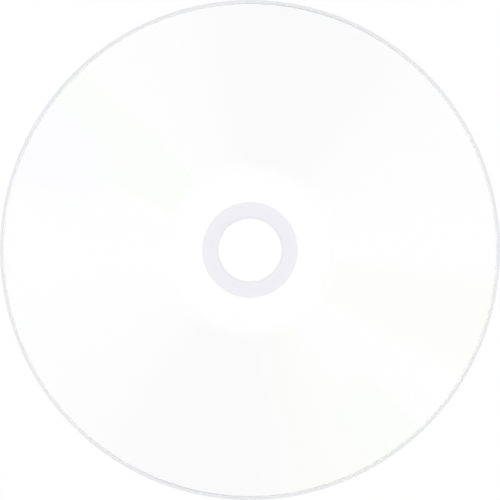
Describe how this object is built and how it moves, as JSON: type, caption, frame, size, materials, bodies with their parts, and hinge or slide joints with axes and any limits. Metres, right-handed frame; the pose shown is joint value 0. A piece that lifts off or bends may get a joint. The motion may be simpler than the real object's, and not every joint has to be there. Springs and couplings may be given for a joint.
{
  "type": "printable dvd",
  "caption": "Recordable optical disc, 120 mm across with a 15 mm centre hole, clear half-discs bonded over dye and mirror films, and a white inkjet-printable face.",
  "frame": {"origin": "on the disc's axis, at the foot of the stacking ring, where the disc rests on a flat surface", "axes": "+Z along the disc's axis, from the read side towards the white label side"},
  "size_m": [0.12, 0.12, 0.0015],
  "materials": {
    "clear_plastic": "clear moulded polycarbonate with a faint violet cast",
    "dye": "violet dye film seen against the mirror",
    "mirror_metal": "bright silver film",
    "clear_adhesive": "clear cured adhesive",
    "white_coat": "satin white ink-receptive coat"
  },
  "bodies": {
    "root": {"read_half": "clear_plastic", "dye_film": "dye", "mirror_film": "mirror_metal", "adhesive": "clear_adhesive", "label_half": "clear_plastic", "print_coat": "white_coat"}
  },
  "joints": []
}
